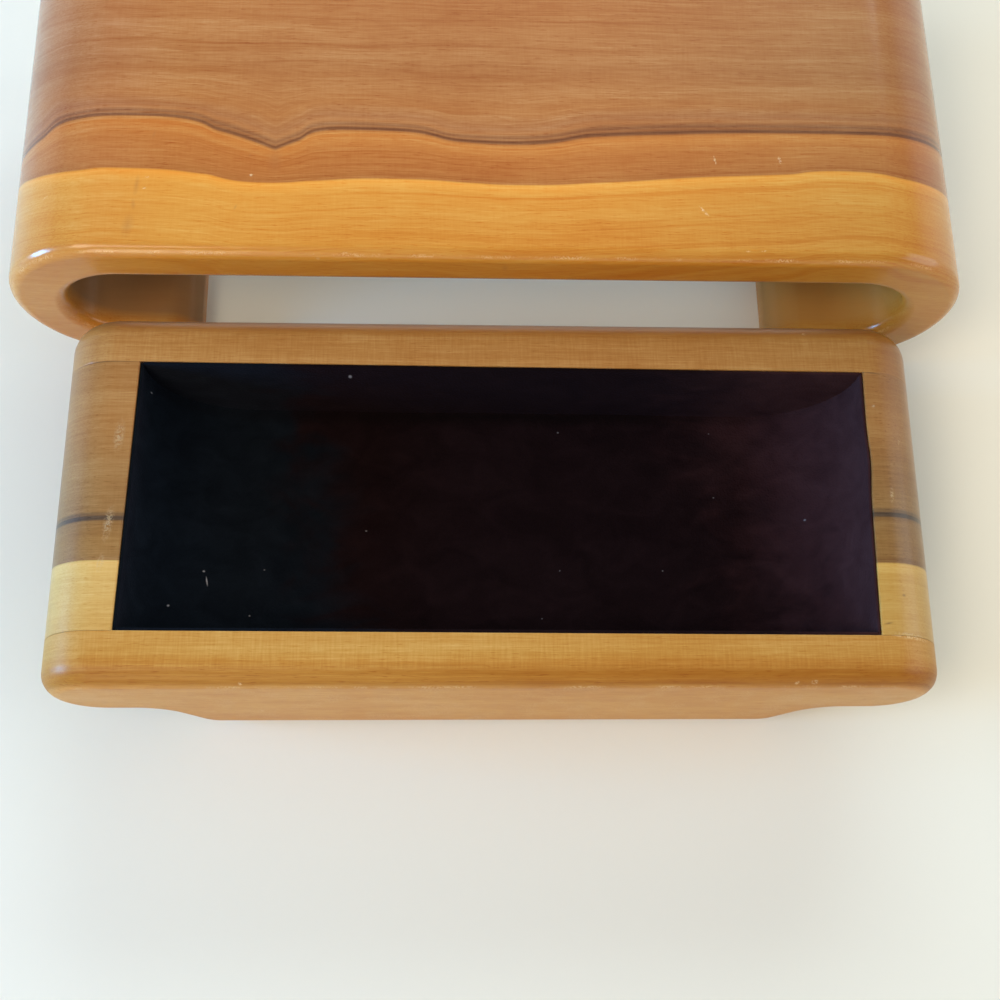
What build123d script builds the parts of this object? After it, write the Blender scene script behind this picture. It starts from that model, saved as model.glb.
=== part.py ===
from build123d import *
import os

# Band-sawn trinket box: a tray that slides, front to back, inside a sleeve cut from the same block.
# Millimetres. X runs along the box, Y from front to back and Z up from the table.
# The origin lies on the table, midway along the whole group with the tray drawn out in front.

# Tray, outside
tray_length = 154.0
tray_depth = 68.5
tray_height = 31.0
shoulder_height = 10.4      # underside of the wide upper body, above the table
shoulder_ledge = 17.8       # from the top of each ogee flank out to the tray's end
flank_run = 7.2             # how far each flank leans out from foot to shoulder
ogee_radius = 6.0           # both bends of a flank
tray_front_round = 3.8
tray_back_round = 5.5

# Tray, sawn into a core and two boards, and hollowed
front_board_thickness = 8.8
back_board_thickness = 10.4
left_end_wall = 14.1        # the hollow was sawn nearer the right-hand end
right_end_wall = 10.7
floor_thickness = 10.8
hollow_corner_radius = 19.0
hollow_skew = 1.3           # degrees that the hollow is turned clockwise, seen from above

# Velvet lining
lining_thickness = 1.0
lining_reveal = 0.4         # bare wood left above the velvet

# Sleeve
sleeve_wall = 9.7           # over the tray
sleeve_end_wall = 10.1
sleeve_lower_round = 23.0   # outer corners at the table
sleeve_edge_round = 2.4
tip_thickness = 5.06        # of each curled tip at its blunt end
round_share = 0.7           # the most of a tip's thickness that an edge rounding takes
body_clearance = 0.8        # saw kerf above and below the tray's body
side_clearance = 1.8        # saw kerf at each end of the tray
flank_clearance = 1.0       # level gap between the tray's flanks and the slopes beside the tips

# Tray drawn out
rest_gap = 5.9              # between the tray's back and the sleeve's front

# Worked out from the sizes above
half_depth = (tray_depth + rest_gap + tray_depth) / 2
half_shoulder = tray_length / 2 - shoulder_ledge
half_foot = half_shoulder - flank_run
tray_front = -half_depth
core_front = tray_front + front_board_thickness
tray_back = tray_front + tray_depth
core_back = tray_back - back_board_thickness
sleeve_front = tray_back + rest_gap
sleeve_back = half_depth
bore_floor = shoulder_height - body_clearance
bore_ceiling = tray_height + body_clearance
bore_length = tray_length + 2 * side_clearance
sleeve_length = bore_length + 2 * sleeve_end_wall
sleeve_height = bore_ceiling + sleeve_wall
edge_round = min(sleeve_edge_round, round_share * tip_thickness)
spare = 5.0                 # how far a cutting shape runs past what it cuts


def between(profile, y_front, y_back):
    """A solid with the given front-view profile, reaching from y_front to y_back."""
    front = Plane(origin=(0, y_front, 0), x_dir=(1, 0, 0), z_dir=(0, -1, 0))
    return extrude(front * profile, amount=-(y_back - y_front))


def soften(solid, y_face, radius):
    """Rounds every edge of the end face that lies at y_face."""
    face = solid.faces().sort_by(lambda f: abs(f.center().Y - y_face))[0]
    return fillet(face.edges(), radius)


def corners_at(sketch, height):
    """The corners of a profile that lie at one height."""
    return [v for v in sketch.vertices() if abs(v.Y - height) < 0.01]


def stadium(length, low, high):
    """A bar with half-round ends, between two heights."""
    return Pos(0, (low + high) / 2) * SlotOverall(length, high - low)


def tray_profile():
    """Wide body with half-round ends over a narrower foot, joined by ogee flanks."""
    middle = (shoulder_height + tray_height) / 2
    foot = make_face(Polyline(
        (-half_foot, 0),
        (half_foot, 0),
        (half_shoulder, shoulder_height),
        (half_shoulder, middle),
        (-half_shoulder, middle),
        (-half_shoulder, shoulder_height),
        close=True,
    ))
    outline = stadium(tray_length, shoulder_height, tray_height) + foot
    outline = fillet(corners_at(outline, 0), ogee_radius)
    bends = [v for v in corners_at(outline, shoulder_height) if abs(abs(v.X) - half_shoulder) < 0.01]
    return fillet(bends, ogee_radius)


def hollow(inset):
    """The tray's hollow, open above the rim, with its floor and ends moved inwards by inset."""
    left = -tray_length / 2 + left_end_wall + inset
    right = tray_length / 2 - right_end_wall - inset
    low = floor_thickness + inset
    high = tray_height + spare
    middle = (left + right) / 2
    outline = Pos(middle, (low + high) / 2) * Rectangle(right - left, high - low)
    outline = fillet(corners_at(outline, low), hollow_corner_radius - inset)
    solid = between(outline, tray_front - spare, tray_back + spare)
    pivot = Axis((middle, tray_front + tray_depth / 2, 0), (0, 0, 1))
    return solid.rotate(pivot, -hollow_skew)


def below(solid, height):
    """The part of a solid that lies under a level."""
    return split(solid, bisect_by=Plane((0, 0, height)), keep=Keep.BOTTOM)


def sleeve_outline():
    """Flat top and bottom, joined at each end by two arcs that meet at the widest point."""
    upper = sleeve_height - sleeve_lower_round
    right = sleeve_length / 2
    low_centre = (right - sleeve_lower_round, sleeve_lower_round)
    high_centre = (right - upper, sleeve_lower_round)
    half = make_face(Curve() + [
        Line((0, 0), (low_centre[0], 0)),
        CenterArc(low_centre, sleeve_lower_round, -90, 90),
        CenterArc(high_centre, upper, 0, 90),
        Line((high_centre[0], sleeve_height), (0, sleeve_height)),
        Line((0, sleeve_height), (0, 0)),
    ])
    return half + mirror(half, about=Plane.YZ)


def sleeve_profile():
    """The outline less the tray's way through, with a slope down to each blunt tip."""
    lean = flank_run / shoulder_height
    slope_foot = half_foot + flank_clearance
    slope_top = slope_foot + lean * bore_floor
    half_gap = slope_foot + lean * tip_thickness
    gap = make_face(Polyline(
        (-half_gap, -spare),
        (half_gap, -spare),
        (half_gap, tip_thickness),
        (slope_top, bore_floor),
        (slope_top, bore_floor + spare),
        (-slope_top, bore_floor + spare),
        (-slope_top, bore_floor),
        (-half_gap, tip_thickness),
        close=True,
    ))
    outline = sleeve_outline() - stadium(bore_length, bore_floor, bore_ceiling) - gap
    return fillet(corners_at(outline, bore_floor), ogee_radius)


def make_sleeve():
    solid = between(sleeve_profile(), sleeve_front, sleeve_back)
    solid = soften(solid, sleeve_front, edge_round)
    return soften(solid, sleeve_back, edge_round)


def make_tray_wood():
    """Front board, core and back board, glued face to face."""
    outline = tray_profile()
    front_board = soften(between(outline, tray_front, core_front), tray_front, tray_front_round)
    back_board = soften(between(outline, core_back, tray_back), tray_back, tray_back_round)
    core = between(outline, core_front, core_back) - hollow(0)
    return front_board, core, back_board


def make_lining():
    """Velvet over the floor and both ends in one strip, with a flat piece on each board."""
    inside = below(hollow(lining_thickness), tray_height - lining_reveal)
    whole = below(hollow(0), tray_height - lining_reveal)
    length = tray_length + spare
    slab = stadium(length, -spare, tray_height + spare)
    trough = (whole - inside) & between(slab, core_front, core_back)
    front = inside & between(slab, core_front, core_front + lining_thickness)
    back = inside & between(slab, core_back - lining_thickness, core_back)
    return trough, front, back


front_board, core, back_board = make_tray_wood()
trough_lining, front_lining, back_lining = make_lining()
pieces = {
    "sleeve": make_sleeve(),
    "tray_core": core,
    "tray_front_board": front_board,
    "tray_back_board": back_board,
    "trough_lining": trough_lining,
    "front_lining": front_lining,
    "back_lining": back_lining,
}

os.makedirs("parts", exist_ok=True)
for name, solid in pieces.items():
    export_step(solid, f"parts/{name}.step")
    box = solid.bounding_box()
    print(f"{name}: {box.size.X:.1f} x {box.size.Y:.1f} x {box.size.Z:.1f}, volume {solid.volume:.0f}")
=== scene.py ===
import math

import bmesh
import bpy
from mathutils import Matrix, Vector, noise


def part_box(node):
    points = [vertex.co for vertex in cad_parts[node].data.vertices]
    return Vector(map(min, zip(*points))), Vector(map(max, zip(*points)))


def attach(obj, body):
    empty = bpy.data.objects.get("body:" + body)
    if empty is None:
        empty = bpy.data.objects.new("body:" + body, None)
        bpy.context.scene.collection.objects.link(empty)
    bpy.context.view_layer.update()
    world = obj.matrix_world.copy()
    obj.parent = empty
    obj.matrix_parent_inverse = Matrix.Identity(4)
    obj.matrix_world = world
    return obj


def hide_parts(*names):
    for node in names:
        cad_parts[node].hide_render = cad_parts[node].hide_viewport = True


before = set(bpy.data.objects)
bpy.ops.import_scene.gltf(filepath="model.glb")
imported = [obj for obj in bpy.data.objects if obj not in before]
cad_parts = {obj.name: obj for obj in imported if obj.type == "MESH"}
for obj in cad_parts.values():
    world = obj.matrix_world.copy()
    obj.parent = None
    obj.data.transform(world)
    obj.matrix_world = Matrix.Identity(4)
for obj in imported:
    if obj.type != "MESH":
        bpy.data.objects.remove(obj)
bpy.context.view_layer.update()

# Trinket box, drawn apart: a velvet-lined tray in front, and behind it the sleeve that it slides into.
# The dictionaries hold millimetres and degrees. What is built from them is in metres.
mm = 0.001
print("frame loaded:", ", ".join(sorted(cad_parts)))


# Modelling

meshing = {
    "weld": 0.001,           # points nearer than this count as one
    "slack": 0.1,            # allowed where points are picked by where they lie
    "leastInArc": 3,         # segments in a small arc; a large one has one for each millimetre of radius
    "roundSegments": 8,      # across a rounded edge
    "easeSegments": 2,       # across a broken edge
    "sharpFrom": 35,         # the least angle at which two faces of wood are shaded apart
}


def drawSection(corners, y):
    # a flat face in the plane at y, from corners given as x, z and rounding radius
    bm = bmesh.new()
    points = [bm.verts.new((x * mm, y, z * mm)) for x, z, radius in corners]
    bm.faces.new(points)
    for point, (_, _, radius) in zip(points, corners):
        if radius:
            a, b = [edge.other_vert(point).co - point.co for edge in point.link_edges]
            reach = radius * mm / math.tan(a.angle(b) / 2)      # from the corner to where its arc starts
            segments = max(meshing["leastInArc"], int(radius))
            bmesh.ops.bevel(bm, geom=[point], offset=reach, offset_type="OFFSET", segments=segments,
                            profile=0.5, affect="VERTICES", clamp_overlap=False, material=-1)
    bmesh.ops.remove_doubles(bm, verts=bm.verts[:], dist=meshing["weld"] * mm)
    return bm


def moveBack(bm, grown, depth):
    # moves what an extrusion grew
    moved = [v for v in grown if isinstance(v, bmesh.types.BMVert)]
    bmesh.ops.translate(bm, verts=moved, vec=(0, depth, 0))


def pullBack(bm, depth, rings=0):
    # draws the section out along the box's depth into a closed block, with rings of edges between its ends
    moveBack(bm, bmesh.ops.extrude_face_region(bm, geom=bm.faces[:])["geom"], depth)
    if rings:
        long = [e for e in bm.edges if abs(e.verts[0].co.y - e.verts[1].co.y) > depth / 2]
        bmesh.ops.subdivide_edges(bm, edges=long, cuts=rings)


def roundEnd(bm, y, radius, segments):
    # rounds every edge that lies in the plane at y
    rim = [e for e in bm.edges if all(abs(v.co.y - y) < meshing["weld"] * mm for v in e.verts)]
    bmesh.ops.bevel(bm, geom=rim, offset=radius * mm, offset_type="OFFSET", segments=segments,
                    profile=0.5, affect="EDGES", clamp_overlap=False, material=-1)


def makePiece(bm, name, material, body, node, sharpFrom=meshing["sharpFrom"]):
    bmesh.ops.recalc_face_normals(bm, faces=bm.faces[:])
    for face in bm.faces:
        face.smooth = True
    for edge in bm.edges:
        edge.smooth = edge.is_manifold and edge.calc_face_angle() < math.radians(sharpFrom)
    mesh = bpy.data.meshes.new(name)
    bm.to_mesh(mesh)
    bm.free()
    mesh.materials.append(material)
    piece = bpy.data.objects.new(name, mesh)
    bpy.context.scene.collection.objects.link(piece)
    piece.modifiers.new("even shading", "WEIGHTED_NORMAL").keep_sharp = True
    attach(piece, body)
    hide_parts(node)
    print("made", name)
    return piece


# Nodes for the materials

def addNode(tree, kind, inputs=None, **settings):
    node = tree.nodes.new(kind)
    for key, value in settings.items():
        setattr(node, key, value)
    for key, value in (inputs or {}).items():
        if isinstance(value, bpy.types.NodeSocket):
            tree.links.new(value, node.inputs[key])
        else:
            node.inputs[key].default_value = value
    return node


def calc(tree, operation, a, b=0.0, clamp=False):
    return addNode(tree, "ShaderNodeMath", {0: a, 1: b}, operation=operation, use_clamp=clamp).outputs[0]


def addShare(tree, total, layer, amount):
    return calc(tree, "ADD", total, calc(tree, "MULTIPLY", layer, amount))


def addLayer(tree, total, layer, amount):
    # a layer of noise, centred on nought, added to a running total
    return addShare(tree, total, calc(tree, "SUBTRACT", layer, 0.5), amount)


def rescale(tree, value, low, high, newLow=0.0, newHigh=1.0, smooth=False):
    kind = "SMOOTHSTEP" if smooth else "LINEAR"
    inputs = {"Value": value, "From Min": low, "From Max": high, "To Min": newLow, "To Max": newHigh}
    return addNode(tree, "ShaderNodeMapRange", inputs, interpolation_type=kind).outputs["Result"]


def grainNoise(tree, place, size, detail=2.0, distortion=0.0):
    # noise whose features are about size millimetres along x, y and z
    spread = tuple(1 / s for s in size)
    scaled = addNode(tree, "ShaderNodeVectorMath", {0: place, 1: spread}, operation="MULTIPLY").outputs[0]
    inputs = {"Vector": scaled, "Scale": 1.0, "Detail": detail, "Roughness": 0.55, "Distortion": distortion}
    return addNode(tree, "ShaderNodeTexNoise", inputs).outputs["Fac"]


def colourRamp(tree, value, stops):
    # a colour for each value, from stops given as value and linear colour
    low, high = stops[0][0], stops[-1][0]
    ramp = addNode(tree, "ShaderNodeValToRGB", {"Fac": rescale(tree, value, low, high)})
    band = ramp.color_ramp
    while len(band.elements) > 1:
        band.elements.remove(band.elements[-1])
    for index, (at, colour) in enumerate(stops):
        place = (at - low) / (high - low)
        element = band.elements[0] if index == 0 else band.elements.new(place)
        element.position = place
        element.color = (*colour, 1)
    return ramp.outputs["Color"]


def mixColours(tree, factor, a, b, blend="MIX"):
    # a and b are sockets, or linear colours
    a, b = [(*side, 1) if isinstance(side, tuple) else side for side in (a, b)]
    node = addNode(tree, "ShaderNodeMix", {0: factor, 6: a, 7: b}, data_type="RGBA", blend_type=blend)
    return node.outputs[2]


def curveAlong(tree, x, points, sharpAt):
    # y as a smooth curve along the box, through points given as x and y, with a sharp bend at some x
    left, right = points[0][0], points[-1][0]
    low = min(y for _, y in points) - 1
    high = max(y for _, y in points) + 1
    node = addNode(tree, "ShaderNodeFloatCurve", {"Value": rescale(tree, x, left, right)})
    curve = node.mapping.curves[0]
    places = [((px - left) / (right - left), (py - low) / (high - low)) for px, py in points]
    curve.points[0].location = places[0]
    curve.points[-1].location = places[-1]
    for place in places[1:-1]:
        curve.points.new(*place)
    for index, (px, _) in enumerate(points):
        if px in sharpAt:
            curve.points[index].handle_type = "VECTOR"
    node.mapping.update()
    return rescale(tree, node.outputs["Value"], 0, 1, low, high)


def markMask(tree, place, mark):
    # 1 at the middle of a small mark and 0 past its edge, on the surface where the mark lies
    x, y, z, length, width, turn = mark
    reach = length / 2 + 0.5      # above and below, as the surface may slope
    inputs = {"Vector": place, "Location": (x, y, z), "Rotation": (0, 0, math.radians(turn)),
              "Scale": (length / 2, width / 2, reach)}
    local = addNode(tree, "ShaderNodeMapping", inputs, vector_type="TEXTURE").outputs[0]
    return addNode(tree, "ShaderNodeTexGradient", {"Vector": local}, gradient_type="SPHERICAL").outputs["Fac"]


def allMarks(tree, place, marks):
    total = markMask(tree, place, marks[0])
    for mark in marks[1:]:
        total = calc(tree, "MAXIMUM", total, markMask(tree, place, mark))
    return total


def splitParts(tree, vector):
    return addNode(tree, "ShaderNodeSeparateXYZ", {0: vector}).outputs


def facingParts(tree):
    # how far the surface faces along x, y and z
    return splitParts(tree, addNode(tree, "ShaderNodeTexCoord").outputs["Normal"])


def addBump(tree, shader, relief, sockets=("Normal",)):
    # relief in millimetres
    bump = addNode(tree, "ShaderNodeBump", {"Height": relief, "Distance": mm}).outputs[0]
    for socket in sockets:
        tree.links.new(bump, shader.inputs[socket])


def newMaterial(name):
    # with the place on the object, in millimetres, as a socket
    material = bpy.data.materials.new(name)
    material.use_nodes = True
    tree = material.node_tree
    tree.nodes.clear()
    shader = addNode(tree, "ShaderNodeBsdfPrincipled")
    addNode(tree, "ShaderNodeOutputMaterial", {"Surface": shader.outputs[0]})
    coords = addNode(tree, "ShaderNodeTexCoord").outputs["Object"]
    place = addNode(tree, "ShaderNodeVectorMath", {0: coords, 3: 1 / mm}, operation="SCALE").outputs[0]
    return material, tree, shader, place


# Wood

# size of each layer of noise along x, y and z, and its detail; the first group follows the growth of the wood
growthLayers = {
    "broad": ((150, 3.5, 60), 2.0),
    "rings": ((90, 0.8, 30), 3.0),
    "late": ((140, 0.9, 80), 1.0),
    "streaks": ((18, 0.35, 4), 3.0),
}
boxLayers = {
    "fibres": ((4.5, 0.27, 0.27), 3.0),
    "pores": ((2.2, 0.2, 0.2), 1.0),
    "blotch": ((22, 12, 14), 3.0),
    "cross": ((0.4, 5.0, 3.5), 4.0),
    "speckle": ((0.35, 0.35, 0.35), 1.0),
    "patches": ((5, 5, 5), 4.0),
}
wood = {
    "darkLineAt": 10.0,          # place of the dark line in the growth, which the bands of colour count on
    "wobbleSize": (45, 12, 14),
    "strandSize": (30, 9, 14),
    "strandsFrom": (0.3, 3.0),   # how far behind the dark line the strands begin and are full
    "lateFrom": (0.6, 0.72),     # the noise at which each of these layers begins to show and is full
    "poresFrom": (0.62, 0.76),
    "speckleFrom": (0.42, 0.58),
    "patchesFrom": (0.48, 0.62),
    "edgeFacing": (0.9, 0.995),  # how far up a surface faces at an edge and on the flat
    "endFacing": (0.55, 0.95),   # how far sideways at the start of the end grain and where it is full
    "rightFrom": (10, 85),       # where along the box each tint of painted light begins and is full
    "leftFrom": (-55, -88),
    "darkestAt": 80,             # where darkerRight is full, and as far to the left it lightens as much
}
varnish = {
    "roughness": 0.5,            # of the wood under the coat, and how far it varies
    "roughnessSpread": 0.08,
    "specular": 0.1,
    "coatIor": 1.5,
    "ripple": 0.03,              # unevenness that hand sanding left, peak to hollow
    "rippleSize": 14.0,
    "fibreRelief": 0.004,
    "scratchRelief": 0.06,
    "rubbedGlintPaleness": 0.45,        # of the rubbed edges, partly a painted highlight line
    "bareShare": 0.9,            # how far the sleeve's sawn inside takes its darker colour, painted shade
    "bareCoat": 0.3,             # weight of the coat there
}


def ringPlace(tree, place, x, y, z, figure):
    # where a point lies in the growth of the wood: below 0 in the sapwood, 0 at the sap edge, darkLineAt at
    # the dark line, and past that in millimetres behind the line, where the line's waves die away
    lean = calc(tree, "MULTIPLY", calc(tree, "SUBTRACT", z, figure["top"]), figure["lean"])
    wobble = grainNoise(tree, place, wood["wobbleSize"])
    depth = addLayer(tree, calc(tree, "ADD", y, lean), wobble, figure["wobble"])
    sapEdge = curveAlong(tree, x, figure["sapEdge"], ())
    darkLine = curveAlong(tree, x, figure["darkLine"], figure["sharpAt"])
    inFront = calc(tree, "SUBTRACT", depth, sapEdge)
    share = calc(tree, "DIVIDE", inFront, calc(tree, "SUBTRACT", darkLine, sapEdge), clamp=True)
    straight = figure["calm"][0]
    waves = rescale(tree, depth, *figure["calm"], 1.0, 0.0, smooth=True)
    off = calc(tree, "MULTIPLY", calc(tree, "SUBTRACT", darkLine, straight), waves)
    behind = calc(tree, "MAXIMUM", calc(tree, "SUBTRACT", depth, calc(tree, "ADD", off, straight)), 0.0)
    strands = calc(tree, "SUBTRACT", grainNoise(tree, place, wood["strandSize"]), 0.5)
    reach = rescale(tree, behind, *wood["strandsFrom"], 0.0, figure["strands"])
    behind = calc(tree, "MAXIMUM", addShare(tree, behind, strands, reach), 0.0)
    total = addShare(tree, calc(tree, "MINIMUM", inFront, 0.0), share, wood["darkLineAt"])
    return calc(tree, "ADD", total, behind)


def figurePower(tree, layers, facing, x, figure):
    # darker wood is also richer in colour, so the figure works as a power of the base colour
    power = 1.0
    for name in ("broad", "rings", "streaks", "fibres", "blotch"):
        power = addLayer(tree, power, layers[name], figure[name])
    edge = rescale(tree, facing[2], *wood["edgeFacing"], 1.0, 0.0, smooth=True)
    shares = {
        "late": rescale(tree, layers["late"], *wood["lateFrom"], smooth=True),
        "pores": rescale(tree, layers["pores"], *wood["poresFrom"]),
        # painted shade: darker, richer colour where the surface turns away from straight up
        "edgeRich": edge,
        "endRich": rescale(tree, calc(tree, "ABSOLUTE", facing[0]), *wood["endFacing"], smooth=True),
        "darkerRight": calc(tree, "DIVIDE", x, wood["darkestAt"]),
    }
    for name, share in shares.items():
        power = addShare(tree, power, share, figure[name])
    onFlat = calc(tree, "SUBTRACT", 1.0, edge)
    hatch = calc(tree, "MULTIPLY", calc(tree, "SUBTRACT", layers["cross"], 0.5), onFlat)
    return addShare(tree, power, hatch, figure["cross"])


def makeWood(name, figure):
    material, tree, shader, place = newMaterial(name)
    x, y, z = splitParts(tree, place)
    facing = facingParts(tree)
    growth = ringPlace(tree, place, x, y, z, figure)
    along = addNode(tree, "ShaderNodeCombineXYZ", {0: x, 1: growth, 2: z}).outputs[0]
    layers = {layer: grainNoise(tree, along, *form) for layer, form in growthLayers.items()}
    layers |= {layer: grainNoise(tree, place, *form) for layer, form in boxLayers.items()}

    base = colourRamp(tree, growth, figure["bands"])
    power = figurePower(tree, layers, facing, x, figure)
    colour = addNode(tree, "ShaderNodeGamma", {"Color": base, "Gamma": power}).outputs[0]
    # painted light: each end tinted by the light and sheen that fall on it
    rightShare = rescale(tree, x, *wood["rightFrom"], smooth=True)
    leftShare = rescale(tree, x, *wood["leftFrom"], smooth=True)
    for share, tint in ((rightShare, "rightLightTint"), (leftShare, "leftLightTint")):
        colour = mixColours(tree, share, colour, figure[tint], "MULTIPLY")

    ripple = grainNoise(tree, place, (varnish["rippleSize"],) * 3)
    relief = calc(tree, "MULTIPLY", ripple, varnish["ripple"])
    relief = addShare(tree, relief, layers["fibres"], varnish["fibreRelief"])
    speckle = rescale(tree, layers["speckle"], *wood["speckleFrom"])
    patchy = rescale(tree, layers["patches"], *wood["patchesFrom"])
    # pale specks on the rubbed front edges, which are also a painted highlight line along them
    wearGlintTilt, wearGlintSpread = figure["wearAndGlint"]
    wornGlint = calc(tree, "ABSOLUTE", calc(tree, "ADD", facing[1], wearGlintTilt))
    wornGlint = rescale(tree, wornGlint, 0, wearGlintSpread, 1.0, 0.0, smooth=True)
    wornGlint = calc(tree, "MULTIPLY", calc(tree, "MULTIPLY", wornGlint, patchy), speckle)
    wornGlint = calc(tree, "MULTIPLY", wornGlint, varnish["rubbedGlintPaleness"])
    colour = mixColours(tree, wornGlint, colour, figure["scratchAndGlintColour"])
    # pale scratches; on the tray, one long mark is a painted highlight along the front seam
    scratchAndGlint = calc(tree, "MULTIPLY", allMarks(tree, place, figure["scratchesAndGlints"]), speckle)
    pale = calc(tree, "MULTIPLY", scratchAndGlint, figure["scratchAndGlintDepth"])
    colour = mixColours(tree, pale, colour, figure["scratchAndGlintColour"])
    relief = calc(tree, "SUBTRACT", relief, calc(tree, "MULTIPLY", scratchAndGlint, varnish["scratchRelief"]))
    if "bare" in figure:
        # painted shade inside the bore, lighter towards its right-hand end as painted light; the varnish
        # there is also thinner
        sawn = addNode(tree, "ShaderNodeAttribute", attribute_name="sawn").outputs["Fac"]
        bare = mixColours(tree, rightShare, figure["bare"], figure["bareRight"])
        colour = mixColours(tree, calc(tree, "MULTIPLY", sawn, varnish["bareShare"]), colour, bare)
        coat = rescale(tree, sawn, 0, 1, figure["coat"], varnish["bareCoat"])
        tree.links.new(coat, shader.inputs["Coat Weight"])
    if "stains" in figure:
        stain = calc(tree, "MULTIPLY", allMarks(tree, place, figure["stains"]), figure["stainDepth"])
        colour = mixColours(tree, stain, colour, figure["stainColour"])

    middle, spread = varnish["roughness"], varnish["roughnessSpread"]
    rough = rescale(tree, layers["blotch"], 0.0, 1.0, middle - spread, middle + spread)
    tree.links.new(colour, shader.inputs["Base Color"])
    tree.links.new(rough, shader.inputs["Roughness"])
    addBump(tree, shader, relief, ("Normal", "Coat Normal"))
    shader.inputs["Specular IOR Level"].default_value = varnish["specular"]
    shader.inputs["Coat Weight"].default_value = figure["coat"]
    shader.inputs["Coat Roughness"].default_value = figure["gloss"]
    shader.inputs["Coat IOR"].default_value = varnish["coatIor"]
    print("mixed", name)
    return material


# The figure of each piece of wood.
# sapEdge and darkLine: x, y. Both lean back from the height at top.
# calm: where the dark line lies once it is straight and its waves begin to die away, and where they end.
# bands: place in the growth, as in ringPlace, and colour. scratchesAndGlints and stains: x, y, z, length,
# width, turn.
# wearAndGlint: how far forward the rubbed edge faces, and how far from that the rubbing reaches. Its pale
# specks are partly a painted highlight line.
# coat and gloss: weight and roughness of the varnish.
# rightLightTint and leftLightTint: painted light on each end, multiplied into the colour
sleeveFigure = {
    "top": 41.5,
    "lean": 0.25,
    "wobble": 0.8,
    "calm": (29, 44),
    "strands": 3.0,
    "sharpAt": [-39.5],
    "sapEdge": [
        (-90, 20.6), (-76, 19.4), (-68, 20.0), (-52, 19.0), (-41, 17.4), (-33, 17.9), (-17, 18.7),
        (-4, 18.1), (4, 17.7), (19, 18.4), (35, 19.6), (54, 20.8), (63, 21.7), (76, 20.5), (90, 19.6),
    ],
    "darkLine": [
        (-90, 24.6), (-82, 27.6), (-76, 30.2), (-63, 31.0), (-50, 28.2), (-44, 26.2), (-39.5, 24.3),
        (-35, 26.4), (-29, 28.6), (-17, 28.6), (-6, 26.6), (4, 26.2), (19, 28.2), (56, 29.8), (90, 29.2),
    ],
    "bands": [
        (-17, (0.62, 0.255, 0.034)), (-8, (0.66, 0.27, 0.036)), (-2.5, (0.71, 0.295, 0.04)),
        (-0.4, (0.82, 0.34, 0.046)), (-0.1, (0.78, 0.32, 0.045)), (0.15, (0.43, 0.15, 0.031)),
        (2, (0.47, 0.163, 0.034)), (6, (0.51, 0.178, 0.035)), (9.2, (0.58, 0.205, 0.037)),
        (9.9, (0.48, 0.165, 0.032)), (10.1, (0.24, 0.082, 0.024)), (10.5, (0.20, 0.068, 0.021)),
        (10.9, (0.38, 0.142, 0.042)), (11.4, (0.27, 0.096, 0.03)), (12.2, (0.45, 0.172, 0.05)),
        (13.3, (0.40, 0.15, 0.046)), (16, (0.46, 0.178, 0.048)), (24, (0.42, 0.16, 0.044)),
        (38, (0.46, 0.175, 0.047)),
    ],
    "broad": 0.35, "rings": 0.22, "streaks": 0.36, "late": 0.12,
    "fibres": 0.42, "pores": 0.24, "blotch": 0.35, "cross": 0.14,
    "edgeRich": 0.1, "endRich": 0.0, "darkerRight": 0.0,
    "rightLightTint": (0.83, 0.93, 1.03),
    "leftLightTint": (0.95, 1.05, 1.7),
    "coat": 1.0,
    "gloss": 0.2,
    "wearAndGlint": (0.78, 0.14),
    "scratchesAndGlints": [
        (-80.1, 15.3, 38.7, 1.6, 0.4, 30), (37.8, 12.9, 41.5, 3.2, 0.55, -52),
        (40.4, 23.7, 41.5, 2.2, 0.5, 100), (52.4, 23.9, 41.5, 1.9, 0.8, 105),
        (45.2, 4.8, 41.1, 1.2, 0.4, 0), (48.1, 4.9, 41.1, 1.4, 0.4, 10),
        (-31.3, 3.2, 39.2, 1.4, 0.5, 0), (-26.5, 3.8, 40.3, 1.2, 0.5, 0),
        (-61.8, 18.3, 41.5, 0.8, 0.5, 0), (-62.2, 15.9, 41.5, 0.8, 0.4, 20),
        (-43.5, 19.0, 41.5, 1.0, 0.6, 30),
    ],
    "scratchAndGlintColour": (0.85, 0.55, 0.25),
    "scratchAndGlintDepth": 0.9,
    "stains": [
        (-63.6, 16.5, 41.5, 5.0, 1.2, 85), (-63.9, 12.6, 41.5, 2.6, 1.0, 95),
        (-61.2, 27.2, 41.5, 2.5, 0.7, 75), (-43.9, 23.1, 41.5, 1.2, 0.6, 60),
        (-46.0, 12.3, 41.5, 1.5, 0.6, 70), (-64.6, 8.3, 41.5, 5.5, 2.6, 80),
        (-39.4, 22.3, 41.5, 7.0, 3.6, 90), (-39.2, 28.0, 41.5, 8.0, 5.5, 90),
        (1.9, 3.0, 37.6, 1.6, 1.2, 0),
    ],
    "stainColour": (0.38, 0.14, 0.04),
    "stainDepth": 0.35,
    "bare": (0.28, 0.145, 0.06),         # inside, where the varnish is thin, darkened as painted shade
    # painted light: lighter inside towards the right-hand end
    "bareRight": (0.50, 0.235, 0.05),
}

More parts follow.
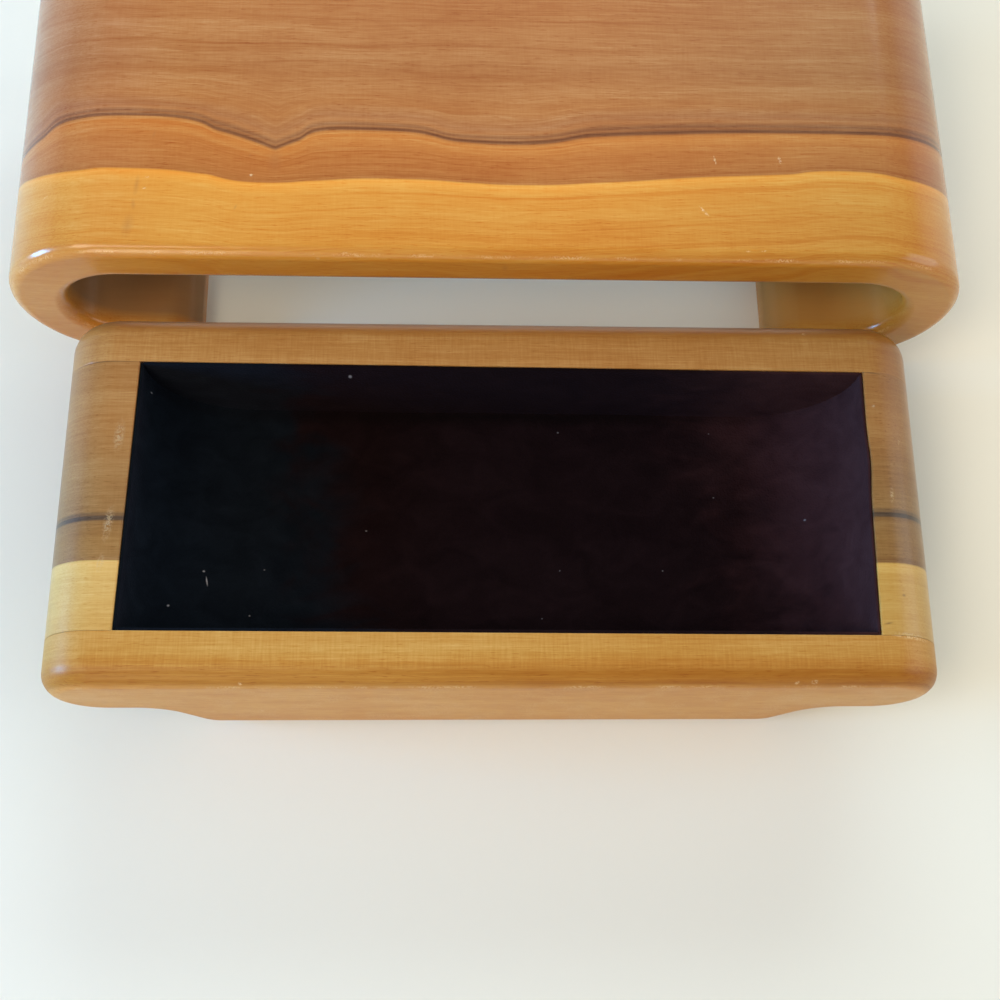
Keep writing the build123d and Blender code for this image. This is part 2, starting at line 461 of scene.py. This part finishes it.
trayFigure = {
    "top": 31.0,
    "lean": 0.05,
    "wobble": 0.6,
    "calm": (-42, -20),
    "strands": 1.5,
    "sharpAt": [],
    "sapEdge": [(-80, -50.0), (0, -50.2), (80, -50.1)],
    "darkLine": [(-80, -42.9), (0, -42.4), (80, -41.5)],
    "broad": 0.3, "rings": 0.2, "streaks": 0.35, "late": 0.08,
    "fibres": 0.38, "pores": 0.26, "blotch": 0.35, "cross": 0.14,
    "edgeRich": 0.05, "endRich": 0.05, "darkerRight": 0.06,
    "rightLightTint": (0.88, 0.95, 0.96),
    "leftLightTint": (0.97, 0.99, 1.04),
    "coat": 0.8,
    "gloss": 0.3,
    "wearAndGlint": (0.97, 0.05),
    "scratchAndGlintColour": (0.75, 0.55, 0.30),
    "scratchAndGlintDepth": 0.8,
}
coreFigure = {
    **trayFigure,
    "bands": [
        (-14, (0.54, 0.30, 0.078)), (-3, (0.57, 0.33, 0.09)), (-0.3, (0.64, 0.385, 0.112)),
        (-0.1, (0.56, 0.32, 0.086)), (0.12, (0.21, 0.092, 0.025)), (1.2, (0.265, 0.128, 0.036)),
        (5, (0.285, 0.14, 0.039)), (9.2, (0.255, 0.122, 0.035)), (9.8, (0.215, 0.102, 0.031)),
        (10.0, (0.085, 0.046, 0.024)), (10.6, (0.07, 0.039, 0.022)), (10.9, (0.20, 0.102, 0.037)),
        (11.15, (0.15, 0.075, 0.029)), (11.6, (0.27, 0.132, 0.04)), (20, (0.31, 0.147, 0.043)),
        (28, (0.35, 0.153, 0.04)),
    ],
    "darkerRight": 0.04,
    "scratchesAndGlints": [
        (-65.3, -27.2, 31.0, 7.0, 2.2, 85), (-66.0, -43.5, 31.0, 8.0, 2.0, 82),
        (-66.8, -50.5, 31.0, 4.0, 1.4, 80), (70.0, -37.4, 30.4, 4.0, 1.0, 85),
        (68.3, -20.5, 30.8, 1.2, 0.6, 30), (72.6, -27.0, 29.2, 1.5, 0.6, 80),
        # painted highlight: the glint of varnish along the front seam
        (70.6, -62.9, 30.6, 9.0, 1.1, -3),
    ],
    "scratchAndGlintColour": (0.55, 0.40, 0.22),
    "scratchAndGlintDepth": 0.55,
    "stains": [
        (70.1, -55.9, 30.4, 0.9, 0.7, 0), (66.8, -61.0, 31.0, 2.0, 0.5, 10),
        (-69.5, -13.0, 31.0, 17.0, 0.45, -0.5), (68.5, -13.9, 31.0, 5.0, 0.5, -6),
    ],
    "stainColour": (0.12, 0.055, 0.02),
    "stainDepth": 0.75,
}
frontBoardFigure = {
    **trayFigure,
    "bands": [
        (-22.8, (0.58, 0.27, 0.056)), (-21.5, (0.56, 0.26, 0.052)), (-20.9, (0.365, 0.138, 0.012)),
        (-19.3, (0.395, 0.152, 0.015)), (-17.6, (0.47, 0.21, 0.036)), (-16, (0.49, 0.24, 0.047)),
        (-12, (0.51, 0.255, 0.056)),
    ],
    "cross": 0.35,
    "edgeRich": 0.0,
    "rightLightTint": (0.97, 1.02, 1.18),
    "leftLightTint": (1.0, 1.05, 1.25),
    "coat": 0.4,
    "gloss": 0.36,
    "scratchesAndGlints": [
        (53.6, -70.8, 29.3, 1.6, 0.7, 0), (50.6, -70.9, 29.2, 1.0, 0.6, 20),
        (-42.6, -70.9, 29.0, 1.0, 0.6, 0), (-40.8, -71.4, 11.0, 1.0, 0.7, 0),
        # painted highlight: the glint of varnish along the front seam
        (70.6, -63.3, 30.6, 9.0, 0.9, -5),
    ],
}
backBoardFigure = {
    **trayFigure,
    "bands": [(36, (0.425, 0.197, 0.05)), (44, (0.43, 0.192, 0.045)), (50, (0.40, 0.172, 0.04))],
    "cross": 0.35,
    "edgeRich": 0.12,
    "leftLightTint": (1.0, 1.06, 1.35),
    "scratchesAndGlints": [(57.0, -5.9, 30.4, 1.0, 0.8, 0)],
}
sleeveWood = makeWood("sleeveWood", sleeveFigure)
coreWood = makeWood("coreWood", coreFigure)
frontBoardWood = makeWood("frontBoardWood", frontBoardFigure)
backBoardWood = makeWood("backBoardWood", backBoardFigure)


# Sleeve: one block, its way through sawn open at the bottom between two blunt tips

sleeve = {
    "lowerRound": 23.0,      # outer corners at the table
    "edgeRound": 2.4,        # front and back edges
    "wall": 9.7,             # over the tray
    "endWall": 10.1,
    "boreFloor": 9.6,
    "tipGap": 113.0,         # between the two tips
    "tipHeight": 5.06,
    "slopeRun": 3.15,        # from each tip out to the top of its slope
    "slopeRound": 6.0,
    "sawnFade": 2.0,         # how far in the varnish gives out and the painted shade comes in
    "rings": 12,             # of edges along its depth
}


def mirrored(corners):
    # the same corners on the other side of the box, in the opposite order
    return [(-x, z, radius) for x, z, radius in reversed(corners)]


def makeSleeve():
    low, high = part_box("sleeve")
    half, top = high.x / mm, high.z / mm
    tip = sleeve["tipGap"] / 2
    floor = sleeve["boreFloor"]
    bore = half - sleeve["endWall"]
    ceiling = top - sleeve["wall"]
    boreRound = (ceiling - floor) / 2
    outer = [(tip, 0, 0), (half, 0, sleeve["lowerRound"]), (half, top, top - sleeve["lowerRound"])]
    inner = [(-tip, sleeve["tipHeight"], 0), (-tip - sleeve["slopeRun"], floor, sleeve["slopeRound"]),
             (-bore, floor, boreRound), (-bore, ceiling, boreRound)]
    bm = drawSection(outer + mirrored(outer) + inner + mirrored(inner), low.y)
    pullBack(bm, high.y - low.y, sleeve["rings"])
    for y in (low.y, high.y):
        roundEnd(bm, y, sleeve["edgeRound"], meshing["roundSegments"])

    # how bare the sawn inside is, and how much painted shade it takes, from nought at its front and back
    # edges
    sawn = bm.verts.layers.float.new("sawn")
    slack = meshing["slack"]
    slopeEnd = tip + sleeve["slopeRun"] + sleeve["slopeRound"]
    for v in bm.verts:
        across, up = abs(v.co.x) / mm, v.co.z / mm
        pastMiddle = max(0, across - (bore - boreRound))      # past the middle of the end's arc
        onBore = math.hypot(pastMiddle, up - (ceiling - boreRound)) < boreRound + slack
        onSlope = across < slopeEnd and slack < up < floor + slack
        depth = min(v.co.y - low.y, high.y - v.co.y) / mm - sleeve["edgeRound"]
        v[sawn] = min(1, max(0, depth / sleeve["sawnFade"])) if onBore or onSlope else 0
    makePiece(bm, "sleeveBlock", sleeveWood, "sleeve", "sleeve")


makeSleeve()


# Tray: a core sawn out as a U, with a board glued on in front and one behind

tray = {
    "shoulderHeight": 10.4,  # underside of the wide body
    "shoulderLedge": 17.8,   # from the top of each flank out to the tray's end
    "flankRun": 7.2,
    "flankRound": 6.0,
    "lowerRound": 10.3,      # of each end
    "upperRound": 9.6,
    "frontRound": 3.8,
    "backRound": 5.5,
    "seamEase": 0.15,        # broken edge along each glue line
    "seamTurn": 0.35,        # both seams, turned clockwise, seen from above
    "endTurn": 0.5,          # both ends, the same way
    "rings": 24,             # of edges along the core's depth
}
hollow = {
    "leftWall": 13.4,
    "rightWall": 11.05,
    "floor": 10.8,
    "cornerRound": 19.0,
    "leftTurn": 1.0,         # each end turned clockwise, seen from above, on top of the tray's own turn
    "rightTurn": 1.3,
    "turnFrom": 30.0,        # how far from the middle that turn is full
    "rimEase": 0.3,
    "wander": 0.37,          # how far the saw strayed into the right-hand end, and where
    "wanderAt": -31.0,
    "wanderSpread": 4.8,
}
coreLow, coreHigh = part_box("tray_core")
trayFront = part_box("tray_front_board")[0].y
trayMiddle = (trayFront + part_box("tray_back_board")[1].y) / 2


def trayRight():
    half, top = coreHigh.x / mm, coreHigh.z / mm
    shoulder = half - tray["shoulderLedge"]
    low = tray["shoulderHeight"]
    return [(shoulder - tray["flankRun"], 0, tray["flankRound"]), (shoulder, low, tray["flankRound"]),
            (half, low, tray["lowerRound"]), (half, top, tray["upperRound"])]


def hollowEnds(inset):
    # left and right end of the hollow, midway back
    half = coreHigh.x / mm
    return -half + hollow["leftWall"] + inset, half - hollow["rightWall"] - inset


def strayEnds(verts):
    # turns the hollow's ends a little, and lets the right-hand one wander as the saw did
    right = hollowEnds(0)[1]
    corner = hollow["cornerRound"]
    for v in verts:
        steep = min(1, max(0, (v.co.x / mm - right + corner) / corner)) ** 2
        off = (v.co.y / mm - hollow["wanderAt"]) / hollow["wanderSpread"]
        turn = math.radians(hollow["rightTurn"] if v.co.x > 0 else hollow["leftTurn"])
        share = min(1, abs(v.co.x) / (hollow["turnFrom"] * mm))
        v.co.x += math.tan(turn) * (v.co.y - trayMiddle) * share
        v.co.x += hollow["wander"] * mm * steep * math.exp(-off * off)


def turnSeams(verts):
    for v in verts:
        v.co.y -= v.co.x * math.tan(math.radians(tray["seamTurn"]))


def turnEnds(verts):
    for v in verts:
        v.co.x += (v.co.y - trayFront) * math.tan(math.radians(tray["endTurn"]))


def makeBoard(name, node, material, radius, inFront):
    low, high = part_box(node)
    outside, seam = (low.y, high.y) if inFront else (high.y, low.y)
    section = trayRight() + mirrored(trayRight())
    bm = drawSection(section, low.y)
    pullBack(bm, high.y - low.y)
    roundEnd(bm, outside, radius, meshing["roundSegments"])
    roundEnd(bm, seam, tray["seamEase"], meshing["easeSegments"])
    nearSeam = (tray["seamEase"] + meshing["slack"]) * mm
    turnSeams([v for v in bm.verts if abs(v.co.y - seam) < nearSeam])
    turnEnds(bm.verts)
    makePiece(bm, name, material, "tray", node)


def makeCore():
    left, right = hollowEnds(0)
    top = coreHigh.z / mm
    ease = hollow["rimEase"]
    rim = [(right, top, ease), (right, hollow["floor"], hollow["cornerRound"]),
           (left, hollow["floor"], hollow["cornerRound"]), (left, top, ease)]
    bm = drawSection(trayRight() + rim + mirrored(trayRight()), coreLow.y)
    pullBack(bm, coreHigh.y - coreLow.y, tray["rings"])
    leftmost = (left - ease - meshing["slack"]) * mm
    rightmost = (right + ease + meshing["slack"]) * mm
    lowest = (hollow["floor"] - meshing["slack"]) * mm
    strayEnds([v for v in bm.verts if leftmost < v.co.x < rightmost and v.co.z > lowest])
    turnSeams(bm.verts)
    turnEnds(bm.verts)
    makePiece(bm, "trayCore", coreWood, "tray", "tray_core")


makeBoard("trayFrontBoard", "tray_front_board", frontBoardWood, tray["frontRound"], inFront=True)
makeBoard("trayBackBoard", "tray_back_board", backBoardWood, tray["backRound"], inFront=False)
makeCore()


# Velvet lining

velvet = {
    "thickness": 0.5,        # backing and pile, standing on the wood
    "glue": 0.05,
    "reveal": 0.2,           # bare wood left above the velvet
    "unevenness": 0.12,      # how far the glued cloth rises and falls
    "unevenSize": 16.0,
    "topEase": 0.2,          # rounding of the pile along the cut edges
    "easeFrom": 60,          # the least angle that is rounded
    "sharpFrom": 80,         # the least angle that is shaded sharp
    "step": 2.5,             # of the mesh along the box and up
    "stepBack": 1.6,
}
pile = {
    "colour": (0.0073, 0.0029, 0.0035),
    "litPile": (0.030, 0.0112, 0.0122),   # painted light: towards the right-hand end, where the pile catches the light
    "shaded": (0.0036, 0.0056, 0.0092),   # painted shade, towards the left-hand end
    "slant": 0.25,                        # how far to the left the next two move with each millimetre back
    "litPileFrom": (25, 53),              # where each colour begins and is full, along the box at y = 0
    "shadedFrom": (-31, -49),
    "drift": 40,                          # how far they stray from that
    "driftSize": (16, 9, 9),
    "napSize": (7, 5, 5),
    "napDepth": 0.3,
    "wallFacing": (0.7, 0.2),             # how far up a surface faces where a wall begins and is full
    # painted sheen: how much lighter the pile is on the walls than on the floor
    "wallSheen": 0.08,
    "creaseShade": (0.6, -14.6, 12.0, 150.0, 4.5, 0.0),    # painted shade along the foot of the back wall, as a mark
    "creaseShadeColour": (0.002, 0.001, 0.001),
    "creaseShadeDepth": 0.8,
    # x, y, z, length, width, turn
    "lint": [
        (-25.8, -13.8, 26.9, 0.9, 0.9, 30), (-61.6, -16.3, 24.6, 0.6, 0.5, 0),
        (-23.0, -37.8, 11.8, 0.7, 0.5, 0), (58.2, -36.6, 15.5, 0.8, 0.7, 0),
        (-51.5, -48.0, 12.5, 2.4, 0.35, 100), (-52.1, -46.2, 12.9, 0.6, 0.5, 0),
        (-41.4, -45.4, 11.8, 0.6, 0.5, 0), (-43.7, -54.1, 11.8, 0.6, 0.5, 0),
        (-57.5, -53.7, 16.2, 0.7, 0.5, 40), (42.2, -30.9, 11.8, 0.6, 0.4, 0),
        (31.8, -45.4, 11.8, 0.5, 0.5, 0), (12.7, -45.4, 11.8, 0.6, 0.4, 60),
        (9.2, -54.6, 11.8, 0.5, 0.5, 0), (13.1, -17.8, 11.8, 0.6, 0.5, 0),
        (42.1, -17.8, 11.8, 0.5, 0.5, 0),
    ],
    "lintColour": (0.35, 0.33, 0.36),
    "lintDepth": 0.7,
    "lintEdge": (0.1, 0.6),               # how far in from its edge a fleck begins and is full
    "tuftSize": (0.4, 0.4, 0.4),
    "tuftRelief": 0.12,
    "roughness": 0.95,
    "specular": 0.05,
    "sheen": 0.03,
    "sheenRoughness": 0.35,
    "sheenTint": (0.6, 0.35, 0.6),
}


def makeVelvet():
    material, tree, shader, place = newMaterial("velvetPile")
    x, y, z = splitParts(tree, place)
    drift = grainNoise(tree, place, pile["driftSize"], detail=4.0, distortion=1.0)
    slant = addLayer(tree, addShare(tree, x, y, pile["slant"]), drift, pile["drift"])
    # painted light towards the right-hand end and painted shade towards the left, along a slanting, wandering
    # line
    litPile = rescale(tree, slant, *pile["litPileFrom"], smooth=True)
    shaded = rescale(tree, slant, *pile["shadedFrom"], smooth=True)
    colour = mixColours(tree, litPile, pile["colour"], pile["litPile"])
    colour = mixColours(tree, shaded, colour, pile["shaded"])
    # painted sheen, lighter on the walls
    wall = rescale(tree, facingParts(tree)[2], *pile["wallFacing"])
    nap = grainNoise(tree, place, pile["napSize"], detail=5.0, distortion=0.8)
    power = calc(tree, "SUBTRACT", 1.0, calc(tree, "MULTIPLY", wall, pile["wallSheen"]))
    power = addLayer(tree, power, nap, pile["napDepth"])
    colour = addNode(tree, "ShaderNodeGamma", {"Color": colour, "Gamma": power}).outputs[0]
    # painted shade where the back wall meets the floor
    creaseShade = calc(tree, "MULTIPLY", markMask(tree, place, pile["creaseShade"]), pile["creaseShadeDepth"])
    colour = mixColours(tree, creaseShade, colour, pile["creaseShadeColour"])
    lint = rescale(tree, allMarks(tree, place, pile["lint"]), *pile["lintEdge"])
    colour = mixColours(tree, calc(tree, "MULTIPLY", lint, pile["lintDepth"]), colour, pile["lintColour"])
    tree.links.new(colour, shader.inputs["Base Color"])
    tufts = grainNoise(tree, place, pile["tuftSize"], detail=1.0)
    addBump(tree, shader, calc(tree, "MULTIPLY", tufts, pile["tuftRelief"]))
    shader.inputs["Roughness"].default_value = pile["roughness"]
    shader.inputs["Specular IOR Level"].default_value = pile["specular"]
    shader.inputs["Sheen Weight"].default_value = pile["sheen"]
    shader.inputs["Sheen Roughness"].default_value = pile["sheenRoughness"]
    shader.inputs["Sheen Tint"].default_value = (*pile["sheenTint"], 1)
    print("mixed velvetPile")
    return material


def liningCorners(inset):
    # the hollow's section, moved inwards by inset, as high as the velvet reaches
    left, right = hollowEnds(inset)
    floor = hollow["floor"] + inset
    top = coreHigh.z / mm - velvet["reveal"]
    radius = hollow["cornerRound"] - inset
    return [(right, top, 0), (right, floor, radius), (left, floor, radius), (left, top, 0)]


def cutAcross(bm, axis, step):
    # cuts the mesh up every step millimetres or so, along x, y or z
    places = [v.co[axis] for v in bm.verts]
    low, high = min(places), max(places)
    count = max(1, round((high - low) / mm / step))
    for index in range(1, count):
        at, towards = Vector(), Vector()
        at[axis] = low + (high - low) * index / count
        towards[axis] = 1
        everything = bm.verts[:] + bm.edges[:] + bm.faces[:]
        bmesh.ops.bisect_plane(bm, geom=everything, plane_co=at, plane_no=towards)


def finishCloth(bm, name, node):
    # lets the glued cloth rise and fall a little, then gives it its thickness and a soft cut edge
    strayEnds(bm.verts)
    turnSeams(bm.verts)
    turnEnds(bm.verts)
    bmesh.ops.recalc_face_normals(bm, faces=bm.faces[:])
    bm.normal_update()
    for v in bm.verts:
        v.co += v.normal * noise.noise(v.co / (velvet["unevenSize"] * mm)) * velvet["unevenness"] * mm
    piece = makePiece(bm, name, velvetPile, "tray", node, velvet["sharpFrom"])
    thicken = piece.modifiers.new("thickness", "SOLIDIFY")
    thicken.thickness = velvet["thickness"] * mm
    thicken.offset = 0
    thicken.use_even_offset = True
    ease = piece.modifiers.new("soft edge", "BEVEL")
    ease.width = velvet["topEase"] * mm
    ease.segments = meshing["easeSegments"]
    ease.limit_method = "ANGLE"
    ease.angle_limit = math.radians(velvet["easeFrom"])


def makeTroughVelvet():
    # one strip, down one end, over the floor and up the other
    corners = liningCorners(velvet["glue"] + velvet["thickness"] / 2)
    top = corners[0][1] * mm
    width = coreHigh.y - coreLow.y
    bm = drawSection(corners, coreLow.y)
    run = [e for e in bm.edges if any(abs(v.co.z - top) >= meshing["weld"] * mm for v in e.verts)]
    bmesh.ops.delete(bm, geom=bm.faces[:], context="FACES_ONLY")
    bmesh.ops.delete(bm, geom=[e for e in bm.edges if e not in run], context="EDGES")
    moveBack(bm, bmesh.ops.extrude_edge_only(bm, edges=bm.edges[:])["geom"], width)
    cutAcross(bm, 1, velvet["stepBack"])
    cutAcross(bm, 0, velvet["step"])
    finishCloth(bm, "troughVelvet", "trough_lining")


def makeFlatVelvet(name, node, side):
    # a flat piece on the inside of a board
    # side is 1 at the front, where the board lies towards -y, and -1 at the back
    low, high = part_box(node)
    board = low.y if side > 0 else high.y
    corners = liningCorners(velvet["glue"] + velvet["thickness"])
    bm = drawSection(corners, board + side * (velvet["glue"] + velvet["thickness"] / 2) * mm)
    area = bm.faces[:][0].calc_area()
    cutAcross(bm, 0, velvet["step"])
    cutAcross(bm, 2, velvet["step"])
    finishCloth(bm, name, node)


velvetPile = makeVelvet()
makeTroughVelvet()
makeFlatVelvet("frontVelvet", "front_lining", 1)
makeFlatVelvet("backVelvet", "back_lining", -1)


# Floor, light and camera

studio = {
    "floorSize": 6000.0,
    "floorColour": (0.80, 0.78, 0.70),
    "floorRoughness": 0.6,
    "floorSpecular": 0.2,
    "overhead": (0.34, 0.27, 0.19),      # light of the room, from straight up and from the sides
    "around": (0.16, 0.18, 0.22),
    "overheadFrom": (0.2, 0.9),          # where overhead begins and is full, as a share of straight up
    "horizon": (0.86, 0.85, 0.82),       # the backdrop, past the floor
    "fadeUp": (0.2, 0.5),                # where it fades above, as a share of straight up
    "floorFade": (160.0, 400.0),         # how far out the floor passes into it
}
# each lamp: place, size, power in watts, colour
lamps = {
    "lamp": ((-430, -360, 830), (400, 400), 3.8, (1.0, 0.83, 0.62)),
    "wallLight": ((-330, -1100, 560), (220, 600), 3.0, (1.0, 0.86, 0.62)),
    "window": ((-700, -110, 210), (280, 220), 7.5, (0.16, 0.50, 0.95)),
    "doorway": ((1100, -150, 620), (1200, 800), 6.5, (0.85, 0.97, 1.0)),
    "hall": ((250, 1250, 620), (1200, 700), 16.0, (0.80, 0.95, 1.0)),
}


def seenAsBackdrop(tree):
    # 1 where the camera, a gloss or a clear material looks, so that the backdrop adds no light
    path = addNode(tree, "ShaderNodeLightPath").outputs
    seen = calc(tree, "MAXIMUM", path["Is Camera Ray"], path["Is Glossy Ray"])
    return calc(tree, "MAXIMUM", seen, path["Is Transmission Ray"])


def paintFloor():
    material, tree, shader, place = newMaterial("floorPaint")
    shader.inputs["Base Color"].default_value = (*studio["floorColour"], 1)
    shader.inputs["Roughness"].default_value = studio["floorRoughness"]
    shader.inputs["Specular IOR Level"].default_value = studio["floorSpecular"]
    out = addNode(tree, "ShaderNodeVectorMath", {0: place}, operation="LENGTH").outputs["Value"]
    far = rescale(tree, out, *studio["floorFade"], smooth=True)
    share = calc(tree, "MULTIPLY", far, seenAsBackdrop(tree))
    backdrop = addNode(tree, "ShaderNodeEmission", {"Color": (*studio["horizon"], 1), "Strength": 1.0})
    both = addNode(tree, "ShaderNodeMixShader", {0: share, 1: shader.outputs[0], 2: backdrop.outputs[0]})
    tree.links.new(both.outputs[0], tree.get_output_node("ALL").inputs["Surface"])
    return material


def makeFloor():
    bm = bmesh.new()
    bmesh.ops.create_grid(bm, x_segments=1, y_segments=1, size=studio["floorSize"] / 2 * mm)
    mesh = bpy.data.meshes.new("floor")
    bm.to_mesh(mesh)
    bm.free()
    mesh.materials.append(paintFloor())
    floor = bpy.data.objects.new("floor", mesh)
    bpy.context.scene.collection.objects.link(floor)


def makeWorld():
    world = bpy.data.worlds.new("room")
    world.use_nodes = True
    tree = world.node_tree
    tree.nodes.clear()
    up = splitParts(tree, addNode(tree, "ShaderNodeTexCoord").outputs["Generated"])[2]
    overhead = rescale(tree, up, *studio["overheadFrom"])
    room = mixColours(tree, overhead, studio["around"], studio["overhead"])
    low = rescale(tree, up, *studio["fadeUp"], 1.0, 0.0, smooth=True)
    low = calc(tree, "MULTIPLY", low, seenAsBackdrop(tree))
    room = mixColours(tree, low, room, studio["horizon"])
    light = addNode(tree, "ShaderNodeBackground", {"Color": room, "Strength": 1.0})
    addNode(tree, "ShaderNodeOutputWorld", {"Surface": light.outputs[0]})
    bpy.context.scene.world = world


def makeLamps():
    for name, (place, size, power, colour) in lamps.items():
        light = bpy.data.lights.new(name, "AREA")
        light.shape = "RECTANGLE"
        light.size, light.size_y = size[0] * mm, size[1] * mm
        light.energy = power
        light.color = colour
        holder = bpy.data.objects.new(name, light)
        holder.location = Vector(place) * mm
        holder.rotation_euler = (-holder.location).to_track_quat("-Z", "Y").to_euler()
        bpy.context.scene.collection.objects.link(holder)


camera = {
    "place": (-12.65, -130.28, 274.44),
    "turn": (20.5831, -2.8656, -0.7748),
    "lens": 54.1,
    "sensor": 36.0,
    "clipStart": 10.0,
}


def makeCamera():
    data = bpy.data.cameras.new("camera")
    data.sensor_width = camera["sensor"]
    data.lens = camera["lens"]
    data.clip_start = camera["clipStart"] * mm
    holder = bpy.data.objects.new("camera", data)
    holder.location = Vector(camera["place"]) * mm
    holder.rotation_euler = [math.radians(angle) for angle in camera["turn"]]
    bpy.context.scene.collection.objects.link(holder)
    bpy.context.scene.camera = holder


makeFloor()
makeWorld()
makeLamps()
makeCamera()
bpy.context.scene.view_settings.view_transform = "Standard"
print("studio ready")

bpy.context.view_layer.update()
